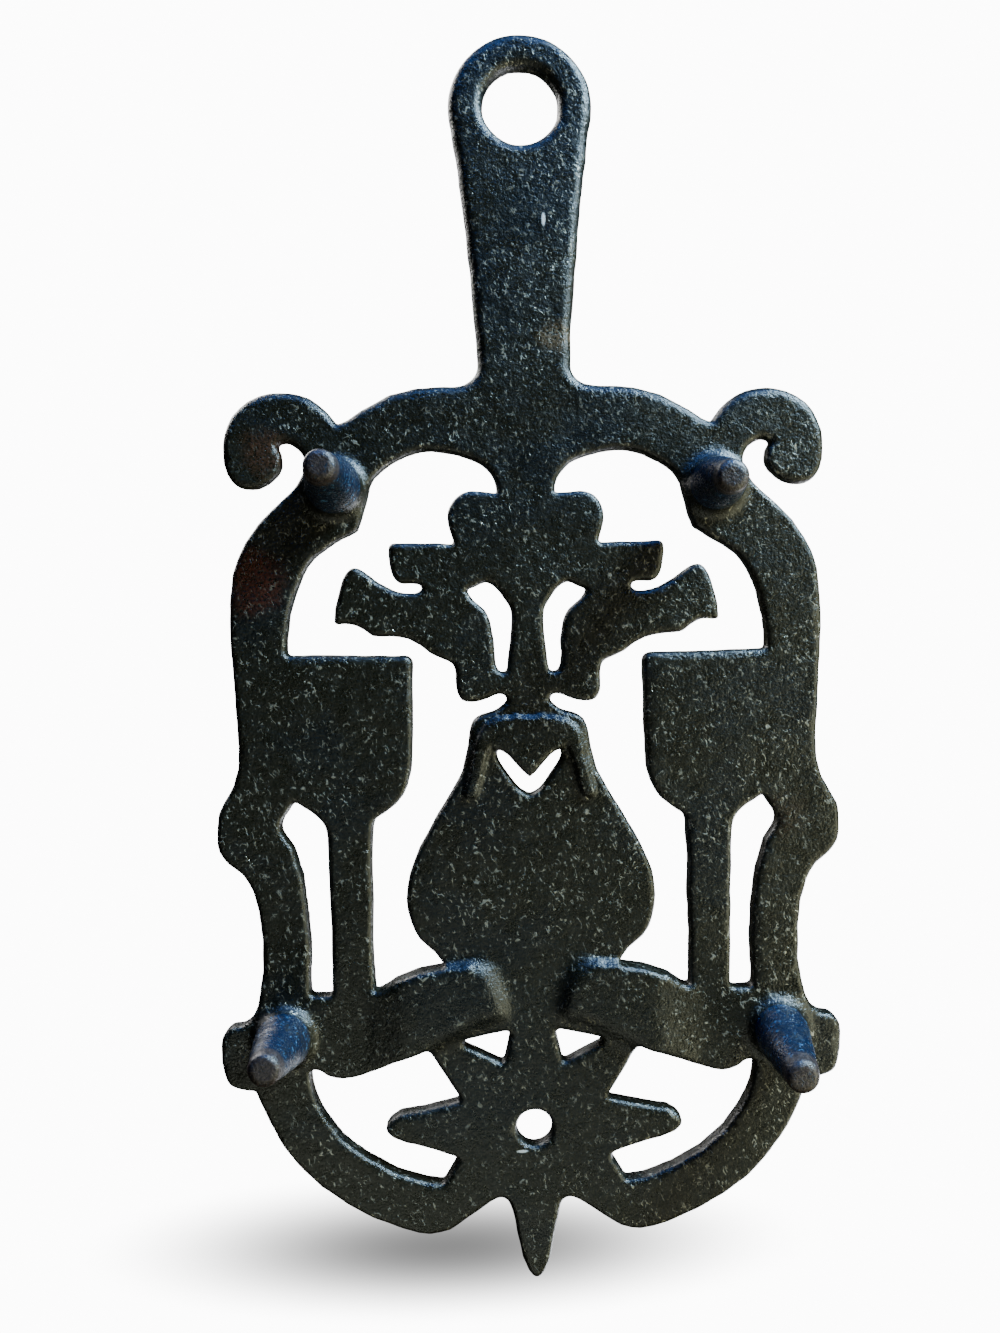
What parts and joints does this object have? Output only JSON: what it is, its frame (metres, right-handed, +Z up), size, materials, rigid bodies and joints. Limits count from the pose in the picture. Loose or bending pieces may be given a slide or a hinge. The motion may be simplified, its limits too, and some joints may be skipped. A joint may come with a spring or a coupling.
{
  "type": "trivet",
  "caption": "Flat openwork cast-iron trivet with a ring-ended hanging handle, scrolled shoulders, a stylised figure and a star, on conical cast feet.",
  "frame": {"origin": "middle of the footprint, on the surface that the feet stand on", "axes": "+Z up out of the surface, +Y along the handle away from the star, +X to the right seen from above"},
  "size_m": [0.1142, 0.2286, 0.026],
  "materials": {
    "plate_iron": "semi-gloss black casting skin, olive-brown in the middle",
    "handle_iron": "semi-gloss black casting skin, blue-black, rubbed tan near the root",
    "raised_iron": "semi-gloss black casting skin with brighter edges",
    "foot_iron": "black flanks, ends worn to bare grey-brown iron"
  },
  "bodies": {
    "root": {"hanging_eye": "handle_iron", "handle": "handle_iron", "yoke": "plate_iron", "right_scroll": "plate_iron", "left_scroll": "plate_iron", "right_flank": "plate_iron", "left_flank": "plate_iron", "right_block": "plate_iron", "left_block": "plate_iron", "right_front_leg": "plate_iron", "left_front_leg": "plate_iron", "right_hind_leg": "plate_iron", "left_hind_leg": "plate_iron", "right_boot": "raised_iron", "left_boot": "raised_iron", "head": "plate_iron", "right_arm": "plate_iron", "left_arm": "plate_iron", "neck": "plate_iron", "collar": "raised_iron", "skirt": "plate_iron", "stem": "plate_iron", "star": "plate_iron", "right_rim": "plate_iron", "left_rim": "plate_iron", "right_upper_foot": "foot_iron", "left_upper_foot": "foot_iron", "right_lower_foot": "foot_iron", "left_lower_foot": "foot_iron"}
  },
  "joints": []
}
